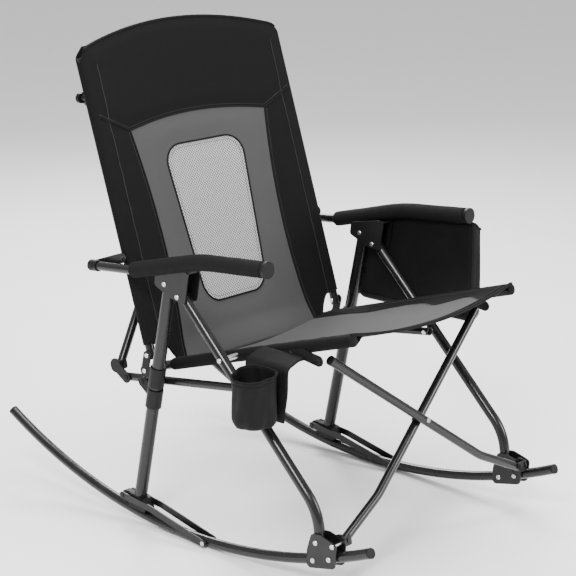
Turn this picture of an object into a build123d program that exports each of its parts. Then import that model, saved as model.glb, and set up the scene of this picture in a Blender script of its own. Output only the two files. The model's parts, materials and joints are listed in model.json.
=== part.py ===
"""Folding camp rocking chair: steel tube frame, fabric seat and back, cup holder and cooler bag.

Millimetres. +Z up, +X to the sitter's left, the chair faces -Y. The origin is on the floor, midway
between the two rockers, at the rockers' lowest point.

Each side of the frame lies in one upright plane. Inside a side, "t" is the distance from that plane
towards the middle of the chair, so x = side * (SIDE_X - t), and points are given as (y, z).
"""

import math
import os
from dataclasses import dataclass

from build123d import *

# ---------------------------------------------------------------- driving dimensions
SIDE_X = 313.0           # half the distance between the two rockers' planes
WALL = 1.2               # steel tube wall

ROCKER_R = 1244.0        # rocker arc radius, to the tube's axis
ROCKER_TUBE = 11.0       # tube outer radii
FRONT_LEG_TUBE = 11.5
REAR_LEG_TUBE = 14.0
BAR_TUBE = 9.0
RAIL_TUBE = 10.0
UPRIGHT_TUBE = 10.0
ARM_TUBE = 10.0
BRACE_TUBE = 9.5
PAD_R = 17.5             # armrest foam sleeve
ROCKER_FRONT_DEG = 23.5  # arc from the lowest point to the front and rear tips
ROCKER_REAR_DEG = 28.0
ROCKER_Z = ROCKER_R + ROCKER_TUBE

PIN_R = 3.0              # rivet shank
RUNNING = 0.05           # radial clearance of a rivet in a part that turns on it
HEAD_R = 5.6
HEAD_H = 2.2
PLATE = 3.0              # pressed steel plate
GAP = 0.3                # between soft parts and their neighbours

# layers, as distances t from a side's plane
BAR_T = 28.0             # side bar
RAIL_T = 51.0            # seat rail
UPRIGHT_T = 15.0         # back upright
ARM_T = -14.0            # armrest, outboard
BRACE_T = 33.0           # foot of a front brace
BRACKET_T = 12.5         # inner face of a foot bracket plate
CHEEK_T = 15.0           # inner face of armrest bracket cheeks and of the truss plates
LUG_T = 0.5              # outer face of the collars' lugs
LUG_W = 4.0

# side pivots and corners, as (y, z)
LEG_FOOT = (-368.0, 104.0)
LEG_BEND = (-359.0, 167.0)
LEG_TOP = (15.0, 541.0)
RAIL_PIVOT = (-100.0, 426.0)
BAR_PIVOT = (-158.0, 368.0)
REAR_FOOT = (156.6, 64.0)
REAR_TOP = (52.6, 562.0)
UPPER_EAR = (138.0, 351.0)
LOWER_EAR = (146.0, 325.0)
UPRIGHT_PIVOT = (130.0, 387.0)
UPRIGHT_TOP = (330.0, 1003.0)
ARM_CLIP = (200.0, 590.0)
ARM_REAR = (274.0, 564.0)
ARM_FRONT = (-234.0, 642.0)
RAIL_FRONT = (-403.0, 516.5)
BAR_REAR = (222.0, 314.0)
TRUSS_FRONT_Y = -50.0
TRUSS_REAR = (199.0, 55.6)
BRACKET_RIVETS_Y = (-403.0, -361.0)
YOKE = (-412.0, 108.0)
BRACE_TOP = (-327.0, 462.0)
BACK_KNOB = (336.0, 917.0)
REAR_LOW = (238.0, 338.0)    # line of the rear braces' feet
REAR_KNOB = (360.0, 917.0)   # line of the rear braces' tops
ARM_LINE = [ARM_REAR, (150.0, 575.0), (-50.0, 627.0), ARM_FRONT]
ARM_BENDS = [180.0, 420.0]

BRACE_TOP_T = 57.0       # a front brace's top, beside its rail hub
REAR_FOOT_T = 32.0       # a rear brace's foot
REAR_TOP_T = 29.0        # a rear brace's top
BRACE_SPLIT = 9.9        # half the distance between the two crossing tubes' axes
BAR_PIN_INSET = 8.0      # from the side bar's rear end to the pin of its knuckle
DRILL_REACH = 30.0       # half the length of a drilled hole across a brace

CUP_R = 43.0             # cup pocket, outside
CUP_Y = -238.0
CUP_Z = (330.0, 436.0)
CUP_WALL = 3.0
BAG_X = (334.0, 390.0)   # cooler bag, outside
BAG_Y = (-246.0, 96.0)
BAG_FLOOR = 390.0
BAG_RIM = (553.0, 612.0)  # rim height at the rear and at the front
BAG_WALL = 3.0
BAG_CORNER = 14.0

SEAT_THICK = 9.0
SEAT_SAG = 26.0
BACK_THICK = 9.0
BACK_SAG = 22.0
BACK_CROWN = 66.0        # top edge above the uprights' tops, at the middle
BACK_ARCH = 50.0         # how far the top edge drops from its middle to its corners
HUB_Y = -254.0           # middle of the rail hub
HUB_Z = 472.5
SLEEVE = 3.5             # wall of the sliding collars


# ---------------------------------------------------------------- small vector helpers
def along(a, b, share):
    """Point at a share of the way from a to b."""
    return tuple(p + (q - p) * share for p, q in zip(a, b))


def unit(a, b):
    """Unit direction from a to b, in the (y, z) plane."""
    length = math.dist(a, b)
    return ((b[0] - a[0]) / length, (b[1] - a[1]) / length)


def shift(point, direction, distance):
    return (point[0] + direction[0] * distance, point[1] + direction[1] * distance)


def beyond(a, b, distance):
    """3-D point past b on the line from a."""
    way = (Vector(*b) - Vector(*a)).normalized()
    return tuple(Vector(*b) + way * distance)


def rocker_z(y):
    """Height of the rocker tube's axis at a distance y behind its lowest point."""
    return ROCKER_Z - math.sqrt(ROCKER_R**2 - y**2)


TRUSS_FRONT = (TRUSS_FRONT_Y, rocker_z(TRUSS_FRONT_Y))
LEG_AXIS = unit(REAR_TOP, REAR_FOOT)
UPRIGHT_AXIS = unit(UPRIGHT_PIVOT, UPRIGHT_TOP)
RAIL_AXIS = unit(UPPER_EAR, RAIL_FRONT)
BAR_AXIS = unit(BAR_PIVOT, BAR_REAR)
BAR_PIN = shift(BAR_REAR, BAR_AXIS, -BAR_PIN_INSET)


# ---------------------------------------------------------------- shape helpers
def place(side, t, point):
    """Point of a side's (t, y, z) in the chair's frame."""
    return (side * (SIDE_X - t), point[0], point[1])


def sweep_round(path, outer, inner=0.0):
    """Round section, hollow if inner is given, along a path."""
    section = Circle(outer) - Circle(inner) if inner else Circle(outer)
    start = Plane(origin=path @ 0, z_dir=path % 0)
    return sweep(start * section, path=path)


def tube(points, radius, bends=()):
    """Hollow round tube along 3-D points, with one bend radius for each inner corner."""
    path = FilletPolyline(*points, radius=list(bends)) if bends else Line(*points)
    return sweep_round(path, radius, radius - WALL)


def rod(a, b, radius):
    """Solid round bar between two 3-D points."""
    plane = Plane(origin=a, z_dir=Vector(*b) - Vector(*a))
    return extrude(plane * Circle(radius), amount=math.dist(a, b))


def pin(side, t0, t1, point, radius):
    """Round bar across a side, from t0 to t1, at a (y, z) point."""
    return rod(place(side, t0, point), place(side, t1, point), radius)


def dome(side, t, outward, point):
    """Domed rivet head standing on the face at t; outward is +1 away from the middle."""
    base = Vector(*place(side, t, point))
    plane = Plane(origin=base, z_dir=(side * outward, 0, 0))
    head = extrude(plane * Circle(HEAD_R), amount=HEAD_H)
    rims = head.edges().sort_by(Axis.X)
    return chamfer(rims[-1 if side * outward > 0 else 0], 1.2)


def rivet(side, t0, t1, point):
    """Rivet through everything between t0 (outboard face) and t1 (inboard face)."""
    shank = pin(side, t0, t1, point, PIN_R)
    return dome(side, t0, 1, point) + shank + dome(side, t1, -1, point)


def slab(side, t0, t1, outline):
    """Plate between t0 and t1 with a filled (y, z) outline."""
    low, high = sorted((side * (SIDE_X - t0), side * (SIDE_X - t1)))
    sketch = Plane.YZ.offset(low) * outline
    return extrude(sketch, amount=high - low)


def rounded(points, radius):
    """Filled outline through (y, z) points with rounded corners."""
    face = make_face(Polyline(*points, close=True))
    return fillet(face.vertices(), radius)


def strip(a, b, width):
    """Round-ended strip from a to b."""
    middle = along(a, b, 0.5)
    angle = math.degrees(math.atan2(b[1] - a[1], b[0] - a[0]))
    return Pos(*middle) * Rot(0, 0, angle) * SlotCenterToCenter(math.dist(a, b), width)


def drill(part, side, points, radius):
    """Round holes across a side through a part."""
    for point in points:
        part = part - pin(side, -60, 90, point, radius)
    return part


# ---------------------------------------------------------------- one side of the frame
def rocker_tube(side):
    centre = (side * SIDE_X, 0, ROCKER_Z)
    plane = Plane(origin=centre, x_dir=(0, 1, 0), z_dir=(1, 0, 0))
    arc = plane * CenterArc((0, 0), ROCKER_R, -90 - ROCKER_FRONT_DEG, ROCKER_FRONT_DEG + ROCKER_REAR_DEG)
    body = sweep_round(arc, ROCKER_TUBE, ROCKER_TUBE - WALL)
    holes = [(y, rocker_z(y)) for y in BRACKET_RIVETS_Y] + [TRUSS_FRONT]
    return drill(body, side, holes, PIN_R)


def rocker_caps(side):
    """Plastic plug in each end of the rocker tube."""
    plugs = []
    for degrees, way in ((-ROCKER_FRONT_DEG, -1), (ROCKER_REAR_DEG, 1)):
        a = math.radians(degrees)
        tip = (ROCKER_R * math.sin(a), ROCKER_Z - ROCKER_R * math.cos(a))
        out = (way * math.cos(a), way * math.sin(a))
        inner = rod(place(side, 0, shift(tip, out, -18)), place(side, 0, tip), ROCKER_TUBE - WALL)
        outer = rod(place(side, 0, tip), place(side, 0, shift(tip, out, 5)), ROCKER_TUBE)
        plugs.append(inner + outer)
    return Compound(plugs)


def foot_bracket(side):
    """Pair of plates that clamp the rocker and carry the front leg and a brace yoke."""
    low = [(y, rocker_z(y)) for y in BRACKET_RIVETS_Y]
    outline = rounded(
        [(-419, 62), (-344, 45), (-345, 84), (-357, 122), (-381, 124), (-424, 112)], 10
    )
    plates = []
    for t in (BRACKET_T, -BRACKET_T - PLATE):
        plate = slab(side, t, t + PLATE, outline)
        plates.append(drill(plate, side, low + [LEG_FOOT, YOKE], PIN_R))
    return Compound(plates)


def rocker_rivets(side):
    """Rivets that stay with the rocker: two clamp rivets, the leg pivot, the yoke pin, the truss pivot."""
    face = BRACKET_T + PLATE
    pieces = [rivet(side, -face, face, (y, rocker_z(y))) for y in BRACKET_RIVETS_Y]
    pieces.append(rivet(side, -face, face, LEG_FOOT))
    yoke_pin = dome(side, -face, 1, YOKE) + pin(side, -face, face + 4.5, YOKE, PIN_R)
    pieces.append(yoke_pin)
    truss_face = CHEEK_T + PLATE
    pieces.append(rivet(side, -truss_face, truss_face, TRUSS_FRONT))
    return Compound(pieces)


def front_leg(side):
    foot = shift(LEG_FOOT, unit(LEG_BEND, LEG_FOOT), 10)
    top = shift(LEG_TOP, unit(LEG_BEND, LEG_TOP), 11)
    points = [place(side, 0, p) for p in (foot, LEG_BEND, top)]
    body = tube(points, FRONT_LEG_TUBE, [110])
    body = drill(body, side, [LEG_FOOT, LEG_TOP], PIN_R + RUNNING)
    return drill(body, side, [RAIL_PIVOT, BAR_PIVOT], PIN_R)


def front_leg_pivots(side):
    """Shouldered rivets on the front leg that the seat rail and the side bar turn on."""
    pieces = []
    for point, t, radius in ((RAIL_PIVOT, RAIL_T, RAIL_TUBE), (BAR_PIVOT, BAR_T, BAR_TUBE)):
        shoulder = pin(side, FRONT_LEG_TUBE + 0.1, t - radius - GAP, point, 6.0)
        shank = pin(side, -FRONT_LEG_TUBE, t + radius + GAP, point, PIN_R)
        heads = dome(side, -FRONT_LEG_TUBE, 1, point) + dome(side, t + radius + GAP, -1, point)
        pieces.append(shoulder + shank + heads)
    return Compound(pieces)


def rear_leg(side):
    foot = place(side, 0, REAR_FOOT)
    top = place(side, 0, shift(REAR_TOP, LEG_AXIS, -8.5))
    body = tube([foot, top], REAR_LEG_TUBE)
    return drill(body, side, [REAR_TOP], PIN_R + RUNNING)


def rear_foot(side):
    """Plastic foot: a plug in the leg, a saddle that rests on the rocker, and a lug for the truss."""
    down = LEG_AXIS
    plug_top = place(side, 0, shift(REAR_FOOT, down, -22))
    plug = rod(plug_top, place(side, 0, REAR_FOOT), REAR_LEG_TUBE - WALL)
    block = slab(side, -14, 14, rounded([(128, 30), (182, 33), (186, 62), (166, 70), (138, 66)], 5))
    block = block & Solid.make_box(400, 120, 66, Plane((side * SIDE_X - 200, 100, 0)))
    lug = slab(side, -7, 7, strip((168, 54), TRUSS_REAR, 18))
    seat_cut = ROCKER_TUBE + GAP
    arc_low = rod(place(side, 0, (100, rocker_z(100))), place(side, 0, (215, rocker_z(215))), seat_cut)
    upper = Plane(origin=place(side, 0, REAR_FOOT), z_dir=(0, down[0], down[1]))
    below = extrude(upper * Rectangle(300, 300), amount=80)
    return plug + ((block + lug) & below) - arc_low


def truss(side):
    """Pair of bent flat bars from the rocker to the rear foot, one on each side of the rocker."""
    bend = (112.0, 47.0)
    bars = []
    for t in (CHEEK_T, -CHEEK_T - PLATE):
        bar = slab(side, t, t + PLATE, strip(TRUSS_FRONT, bend, 15) + strip(bend, TRUSS_REAR, 15))
        bar = drill(bar, side, [TRUSS_FRONT], PIN_R + RUNNING)
        outward = 1 if t < 0 else -1
        face = t if t < 0 else t + PLATE
        bars.append(bar + dome(side, face, outward, TRUSS_REAR))
    return Compound(bars)


def seat_rail(side):
    rear = shift(UPPER_EAR, RAIL_AXIS, -12)
    front = shift(RAIL_FRONT, RAIL_AXIS, -3)
    body = tube([place(side, RAIL_T, rear), place(side, RAIL_T, front)], RAIL_TUBE)
    body = drill(body, side, [RAIL_PIVOT], PIN_R + RUNNING)
    return body + dome(side, RAIL_T + RAIL_TUBE - 0.6, -1, UPPER_EAR)


def rail_hub(side):
    """Plastic hub clamped under the seat rail, with a lug that holds a front brace's top."""
    hub = (HUB_Y, HUB_Z)
    outline = rounded([(-282, 497), (-228, 480), (-236, 450), (-276, 447)], 8)
    body = slab(side, RAIL_T - 14, RAIL_T + 14, outline)
    core = rod(place(side, RAIL_T, UPPER_EAR), place(side, RAIL_T, RAIL_FRONT), RAIL_TUBE)
    above = [shift(UPPER_EAR, RAIL_AXIS, d) for d in (300, 500)]
    above = above + [(y, z + 60) for y, z in reversed(above)]
    top = slab(side, RAIL_T - 20, RAIL_T + 20, make_face(Polyline(*above, close=True)))
    arm = slab(side, RAIL_T - 14, RAIL_T - 11, strip(hub, BRACE_TOP, 22))
    body = body + arm - core - top
    head_face = RAIL_T - 14
    heads = [dome(side, head_face, 1, p) for p in ((-252, 463), (-268, 455), BRACE_TOP)]
    for head in heads:
        body = body + head
    return body


def side_bar(side):
    front = shift(BAR_PIVOT, BAR_AXIS, -10)
    body = tube([place(side, BAR_T, front), place(side, BAR_T, BAR_REAR)], BAR_TUBE)
    body = drill(body, side, [BAR_PIVOT, BAR_PIN], PIN_R + RUNNING)
    return body + dome(side, BAR_T + BAR_TUBE - 0.6, -1, LOWER_EAR)


def collar(side, centre, length, ears):
    """Plastic sleeve that slides on the rear leg, with a rear lug for its ears."""
    a = place(side, 0, shift(centre, LEG_AXIS, -length / 2))
    b = place(side, 0, shift(centre, LEG_AXIS, length / 2))
    sleeve = rod(a, b, REAR_LEG_TUBE + SLEEVE)
    lug = slab(side, LUG_T, LUG_T + LUG_W, strip(centre, ears[0], 24))
    for ear in ears[1:]:
        lug = lug + slab(side, LUG_T, LUG_T + LUG_W, strip(ears[0], ear, 20))
    bore_top = place(side, 0, shift(REAR_TOP, LEG_AXIS, -30))
    bore = rod(bore_top, place(side, 0, REAR_FOOT), REAR_LEG_TUBE + RUNNING)
    body = sleeve + lug - bore
    return drill(body, side, ears, PIN_R)


def upper_collar(side):
    return collar(side, (97.5, 347.0), 44, [UPPER_EAR, UPRIGHT_PIVOT])


def lower_collar(side):
    return collar(side, (107.5, 298.0), 42, [LOWER_EAR])


def upper_collar_pins(side):
    """Rivet that the upright turns on, and the pin that meets the seat rail's rear end."""
    far = UPRIGHT_T + UPRIGHT_TUBE + 0.5
    upright = dome(side, LUG_T, 1, UPRIGHT_PIVOT) + pin(side, LUG_T, far, UPRIGHT_PIVOT, PIN_R)
    upright = upright + dome(side, far, -1, UPRIGHT_PIVOT)
    rail = dome(side, LUG_T, 1, UPPER_EAR) + pin(side, LUG_T, LUG_T + LUG_W, UPPER_EAR, PIN_R)
    rail = rail + pin(side, LUG_T + LUG_W, RAIL_T - RAIL_TUBE - GAP, UPPER_EAR, 5.0)
    return Compound([upright, rail])


def lower_collar_pin(side):
    head = dome(side, LUG_T, 1, LOWER_EAR) + pin(side, LUG_T, LUG_T + LUG_W, LOWER_EAR, PIN_R)
    return head + pin(side, LUG_T + LUG_W, BAR_T - BAR_TUBE - GAP, LOWER_EAR, 5.0)


def back_upright(side):
    bottom = shift(UPRIGHT_PIVOT, UPRIGHT_AXIS, -11)
    body = tube([place(side, UPRIGHT_T, bottom), place(side, UPRIGHT_T, UPRIGHT_TOP)], UPRIGHT_TUBE)
    return drill(body, side, [UPRIGHT_PIVOT], PIN_R + RUNNING)


def back_knob(side):
    """Short stub behind the upright and the plastic knob that a rear brace's top sits in."""
    root = (304.0, 923.0)
    stub = rod(place(side, UPRIGHT_T, root), place(side, UPRIGHT_T, BACK_KNOB), 6.0)
    reach = REAR_KNOB[0] + side * BRACE_SPLIT - BRACE_TUBE - 1.0 - BACK_KNOB[0]
    tip = shift(BACK_KNOB, (1, 0), reach)
    stub = stub + rod(place(side, UPRIGHT_T, BACK_KNOB), place(side, UPRIGHT_T, tip), 6.0)
    knob = rod(place(side, UPRIGHT_T, shift(tip, (1, 0), -9)), place(side, UPRIGHT_T, tip), 11.0)
    tube_core = rod(
        place(side, UPRIGHT_T, UPRIGHT_PIVOT), place(side, UPRIGHT_T, UPRIGHT_TOP), UPRIGHT_TUBE
    )
    return stub + knob - tube_core


def arm_hinge_plate(side):
    """Plate on the upright that reaches back to the armrest's rear end."""
    plate = slab(side, -1.2, 1.8, strip(ARM_CLIP, ARM_REAR, 22))
    boss = pin(side, 1.8, UPRIGHT_T, ARM_CLIP, 8.0)
    core = rod(place(side, UPRIGHT_T, UPRIGHT_PIVOT), place(side, UPRIGHT_T, UPRIGHT_TOP), UPRIGHT_TUBE)
    return plate + (boss - core) + dome(side, -1.2, 1, ARM_CLIP)


def arm_path(side):
    return FilletPolyline(*[place(side, ARM_T, p) for p in ARM_LINE], radius=ARM_BENDS)


def armrest_tube(side):
    return sweep_round(arm_path(side), ARM_TUBE, ARM_TUBE - WALL)


def armrest_pad(side):
    """Foam sleeve on the front part of the armrest tube."""
    sleeve = sweep_round(arm_path(side), PAD_R, ARM_TUBE)
    keep = Solid.make_box(200, 387, 300, Plane((side * (SIDE_X - ARM_T) - 100, ARM_FRONT[0] - 1, 450)))
    return sleeve & keep


def armrest_caps(side):
    """Plastic plug at the front tip and moulded clip at the rear end of the armrest tube."""
    front_way = unit(ARM_LINE[2], ARM_LINE[3])
    tip = rod(place(side, ARM_T, ARM_FRONT), place(side, ARM_T, shift(ARM_FRONT, front_way, 7)), PAD_R)
    plug_end = place(side, ARM_T, shift(ARM_FRONT, front_way, -16))
    plug = rod(plug_end, place(side, ARM_T, ARM_FRONT), ARM_TUBE - WALL)
    rear_way = unit(ARM_LINE[1], ARM_LINE[0])
    a = shift(ARM_REAR, rear_way, -16)
    b = shift(ARM_REAR, rear_way, 9)
    clip = rod(place(side, ARM_T, a), place(side, ARM_T, b), 12.4)
    clip = clip - rod(place(side, ARM_T, shift(a, rear_way, -5)), place(side, ARM_T, ARM_REAR), ARM_TUBE)
    clip = clip + dome(side, ARM_T - 12.0, 1, ARM_REAR)
    return Compound([tip + plug, clip])


def armrest_bracket(side):
    """Folded plate under the armrest: two cheeks that hold both legs' tops, joined by a web."""
    outline = rounded([(-8, 528), (36, 536), (82, 556), (78, 584), (-4, 600), (-20, 596)], 8)
    cheeks = slab(side, -CHEEK_T - PLATE, -CHEEK_T, outline)
    cheeks = cheeks + slab(side, CHEEK_T, CHEEK_T + PLATE, outline)
    web = slab(side, -CHEEK_T - PLATE, CHEEK_T + PLATE, strip((-12, 594), (74, 579), 5))
    body = cheeks + web - sweep_round(arm_path(side), PAD_R)
    return drill(body, side, [LEG_TOP, REAR_TOP], PIN_R)


def armrest_rivets(side):
    face = CHEEK_T + PLATE
    return Compound([rivet(side, -face, face, p) for p in (LEG_TOP, REAR_TOP)])


# ---------------------------------------------------------------- crossing braces
@dataclass
class CrossPlane:
    """Leaning plane of two crossing braces, from the (y, z) line of their feet to that of their tops."""

    low: tuple
    high: tuple
    foot_x: float
    top_x: float
    knee_x: float
    knee_share: float
    bend: float
    top_trim: float

    def normal(self):
        """Forward normal of the plane, in (y, z)."""
        up = unit(self.low, self.high)
        return (-up[1], up[0])

    def point(self, x, share, offset):
        """Point a share of the way up the plane, offset forward along its normal."""
        return (x, *shift(along(self.low, self.high, share), self.normal(), offset))

    def foot(self, side):
        return self.point(side * self.foot_x, 0.0, side * BRACE_SPLIT)

    def knee(self, side):
        return self.point(side * self.knee_x, self.knee_share, side * BRACE_SPLIT)

    def top(self, side):
        """End of the brace, cut back from the line of the tops to clear what it meets."""
        full = self.point(-side * self.top_x, 1.0, side * BRACE_SPLIT)
        return beyond(self.knee(side), full, -self.top_trim)

    def crossing(self, offset):
        run = self.knee_x / (self.knee_x + self.top_x)
        return self.point(0.0, self.knee_share + (1 - self.knee_share) * run, offset)

    def bar(self, point, start, end, radius):
        """Round bar along the plane's normal, from start to end as distances from a point."""
        ends = [(point[0], *shift(point[1:], self.normal(), d)) for d in (start, end)]
        return rod(*ends, radius)

    def rivet(self, point, reach):
        """Rivet along the plane's normal with a head at each end."""
        shank = self.bar(point, -reach, reach, PIN_R)
        head = self.bar(point, reach, reach + HEAD_H, HEAD_R)
        return shank + head + self.bar(point, -reach - HEAD_H, -reach, HEAD_R)


FRONT_CROSS = CrossPlane(
    low=YOKE,
    high=BRACE_TOP,
    foot_x=SIDE_X - BRACE_T,
    top_x=SIDE_X - BRACE_TOP_T,
    knee_x=160.0,
    knee_share=0.16,
    bend=120.0,
    top_trim=13.0,
)
REAR_CROSS = CrossPlane(
    low=REAR_LOW,
    high=REAR_KNOB,
    foot_x=SIDE_X - REAR_FOOT_T,
    top_x=SIDE_X - REAR_TOP_T,
    knee_x=190.0,
    knee_share=0.22,
    bend=150.0,
    top_trim=0.0,
)


def brace(side, cross):
    """Bent tube from one side's foot, through the crossing, to the other side's top."""
    end = beyond(cross.knee(side), cross.foot(side), 6.0)
    body = tube([end, cross.knee(side), cross.top(side)], BRACE_TUBE, [cross.bend])
    body = body - cross.bar(cross.foot(side), -DRILL_REACH, DRILL_REACH, PIN_R + RUNNING)
    crossing_hole = PIN_R if side < 0 else PIN_R + RUNNING
    return body - cross.bar(cross.crossing(side * BRACE_SPLIT), -DRILL_REACH, DRILL_REACH, crossing_hole)


def brace_cap(side, cross):
    """Plastic cap on a brace's top end."""
    return rod(cross.top(side), beyond(cross.knee(side), cross.top(side), 8.0), BRACE_TUBE + 0.6)


def crossing_rivet(cross):
    return cross.rivet(cross.crossing(0.0), 2 * BRACE_SPLIT)


def fork(side, cross, t0):
    """Two plates and a rivet that hold a brace's foot; the plates start at the layer t0."""
    x, y, z = cross.foot(side)
    near, far = side * (SIDE_X - t0), x - side * 8.0
    body = cross.rivet((x, y, z), BRACE_TUBE + GAP + PLATE)
    for way in (-1, 1):
        centre = shift((y, z), cross.normal(), way * (BRACE_TUBE + GAP + PLATE / 2))
        plane = Plane(origin=((near + far) / 2, *centre), x_dir=(1, 0, 0), z_dir=(0, *cross.normal()))
        body = body + extrude(plane * RectangleRounded(abs(far - near), 20, 4), amount=PLATE / 2, both=True)
    return body


def yoke(side):
    """Forked block that tilts on the foot bracket and holds a front brace's foot."""
    face = BRACKET_T + PLATE + GAP
    boss = pin(side, face, face + 4.0, YOKE, 9.0)
    boss = boss + pin(side, face, face + 4.0, FRONT_CROSS.foot(side)[1:], 16.0)
    body = boss + fork(side, FRONT_CROSS, face)
    return body - pin(side, face - 1, face + 5, YOKE, PIN_R + RUNNING)


def rear_knuckle(side):
    """Knuckle that tilts on the side bar's rear end and holds a rear brace's foot."""
    foot = REAR_CROSS.foot(side)[1:]
    inner = BAR_T - BAR_TUBE - GAP
    outer = inner - PLATE
    far = BAR_T + BAR_TUBE + GAP
    plate = slab(side, outer, inner, strip(BAR_PIN, foot, 24)) + pin(side, outer, inner, foot, 16.0)
    heads = dome(side, outer, 1, BAR_PIN) + dome(side, far, -1, BAR_PIN)
    return plate + fork(side, REAR_CROSS, outer) + heads + pin(side, outer, far, BAR_PIN, PIN_R)


# ---------------------------------------------------------------- soft parts
def sling(half_width, sag, thick, radius, steps=16):
    """Closed outline of a sheet that lies on two tubes and sags between them, as (x, outward n)."""
    lift = radius + GAP
    inner = half_width - 2 * radius - 3
    xs = [-half_width] + [inner * (2 * i / steps - 1) for i in range(steps + 1)] + [half_width]
    top = []
    bottom = []
    for x in xs:
        n = lift - sag * max(0.0, 1 - (x / inner) ** 2)
        top.append((x, n + thick))
        bottom.append((x, n))
    return make_face(Polyline(*top, *reversed(bottom), close=True))


def seat():
    """Sling seat: one padded sheet carried by the two seat rails."""
    half = SIDE_X - RAIL_T + RAIL_TUBE + 3
    rear = shift(UPPER_EAR, RAIL_AXIS, 42)
    length = math.dist(rear, RAIL_FRONT) + 4
    plane = Plane(origin=(0, *rear), x_dir=(1, 0, 0), z_dir=(0, *RAIL_AXIS))
    return extrude(plane * sling(half, SEAT_SAG, SEAT_THICK, RAIL_TUBE), amount=length)


def back():
    """Sling back with an arched top edge, carried by the two uprights."""
    half = SIDE_X - UPRIGHT_T + UPRIGHT_TUBE + 3
    bottom = shift(UPRIGHT_PIVOT, UPRIGHT_AXIS, 22)
    length = math.dist(bottom, UPRIGHT_TOP) + BACK_CROWN
    plane = Plane(origin=(0, *bottom), x_dir=(-1, 0, 0), z_dir=(0, *UPRIGHT_AXIS))
    sheet = extrude(plane * sling(half, BACK_SAG, BACK_THICK, UPRIGHT_TUBE), amount=length)
    face = Plane(origin=(0, *bottom), x_dir=(1, 0, 0), z_dir=(0, -UPRIGHT_AXIS[1], UPRIGHT_AXIS[0]))
    low = -1
    crown = length - 1
    shoulder = crown - BACK_ARCH
    edge = ThreePointArc((half, shoulder), (0, crown), (-half, shoulder))
    sides = Polyline((-half, shoulder), (-half, low), (half, low), (half, shoulder))
    trim = extrude(face * make_face([edge, sides]), amount=120, both=True)
    return sheet & trim


def cup_holder():
    """Open pocket on a flat panel that hangs from the seat rail, outboard of the front leg."""
    panel_x = SIDE_X + FRONT_LEG_TUBE + 4
    centre = (-panel_x - CUP_R, CUP_Y)
    height = CUP_Z[1] - CUP_Z[0]
    upwards = (Align.CENTER, Align.CENTER, Align.MIN)
    outer = Pos(*centre, CUP_Z[0]) * Cylinder(CUP_R, height, align=upwards)
    inner = Pos(*centre, CUP_Z[0] + CUP_WALL) * Cylinder(CUP_R - CUP_WALL, height, align=upwards)
    outline = rounded([(-292, 344), (-212, 318), (-176, 340), (-172, 436), (-288, 452)], 8)
    panel = slab(-1, SIDE_X - panel_x - 1, SIDE_X - panel_x + 2, outline)
    high = (RAIL_T - RAIL_TUBE - 11.0 - SIDE_X, 462.0)
    low = (-panel_x, 442.0)
    flap = make_face(Polyline(high, low, (low[0], low[1] - 4), (high[0], high[1] - 4), close=True))
    return outer + panel + extrude(Plane.XZ.offset(178) * flap, amount=108) - inner


def cooler_bag():
    """Open-topped bag that hangs outboard of the sitter's left armrest."""
    corners = [(BAG_Y[0], BAG_FLOOR), (BAG_Y[1], BAG_FLOOR), (BAG_Y[1], BAG_RIM[0]), (BAG_Y[0], BAG_RIM[1])]
    outline = make_face(Polyline(*corners, close=True))
    outline = fillet(outline.vertices(), BAG_CORNER)
    shell = extrude(Plane.YZ.offset(BAG_X[0]) * outline, amount=BAG_X[1] - BAG_X[0])
    hollow = make_face(Polyline(
        (BAG_Y[0] + BAG_WALL, BAG_FLOOR + BAG_WALL),
        (BAG_Y[1] - BAG_WALL, BAG_FLOOR + BAG_WALL),
        (BAG_Y[1] - BAG_WALL, BAG_RIM[0] + 80),
        (BAG_Y[0] + BAG_WALL, BAG_RIM[1] + 80),
        close=True,
    ))
    width = BAG_X[1] - BAG_X[0] - 2 * BAG_WALL
    inside = extrude(Plane.YZ.offset(BAG_X[0] + BAG_WALL) * hollow, amount=width)
    return shell - inside


# ---------------------------------------------------------------- every node
SIDE_PIECES = {
    "rocker_tube": rocker_tube,
    "rocker_caps": rocker_caps,
    "foot_bracket": foot_bracket,
    "rocker_rivets": rocker_rivets,
    "front_leg": front_leg,
    "front_leg_pivots": front_leg_pivots,
    "rear_leg": rear_leg,
    "rear_foot": rear_foot,
    "truss_bars": truss,
    "seat_rail": seat_rail,
    "rail_hub": rail_hub,
    "side_bar": side_bar,
    "rear_knuckle": rear_knuckle,
    "upper_collar": upper_collar,
    "upper_collar_pins": upper_collar_pins,
    "lower_collar": lambda side: Compound([lower_collar(side), lower_collar_pin(side)]),
    "back_upright": back_upright,
    "back_knob": back_knob,
    "arm_hinge_plate": arm_hinge_plate,
    "armrest_tube": armrest_tube,
    "armrest_pad": armrest_pad,
    "armrest_caps": armrest_caps,
    "armrest_bracket": armrest_bracket,
    "armrest_rivets": armrest_rivets,
    "brace_yoke": yoke,
}

SINGLE_PIECES = {
    "front_brace_right": lambda: Compound([brace(-1, FRONT_CROSS), brace_cap(-1, FRONT_CROSS)]),
    "front_brace_left": lambda: Compound([brace(1, FRONT_CROSS), brace_cap(1, FRONT_CROSS)]),
    "front_brace_rivet": lambda: crossing_rivet(FRONT_CROSS),
    "rear_brace_right": lambda: brace(-1, REAR_CROSS),
    "rear_brace_left": lambda: brace(1, REAR_CROSS),
    "rear_brace_rivet": lambda: crossing_rivet(REAR_CROSS),
    "seat": seat,
    "back": back,
    "cup_holder": cup_holder,
    "cooler_bag": cooler_bag,
}


def main():
    os.makedirs("parts", exist_ok=True)
    for name, side in (("right", -1), ("left", 1)):
        for piece, make in SIDE_PIECES.items():
            export_step(make(side), f"parts/{name}_{piece}.step")
    for piece, make in SINGLE_PIECES.items():
        export_step(make(), f"parts/{piece}.step")


main()
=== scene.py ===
"""Looks of the folding camp rocking chair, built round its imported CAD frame. Metres, +Z up."""

import json
import math

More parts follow.
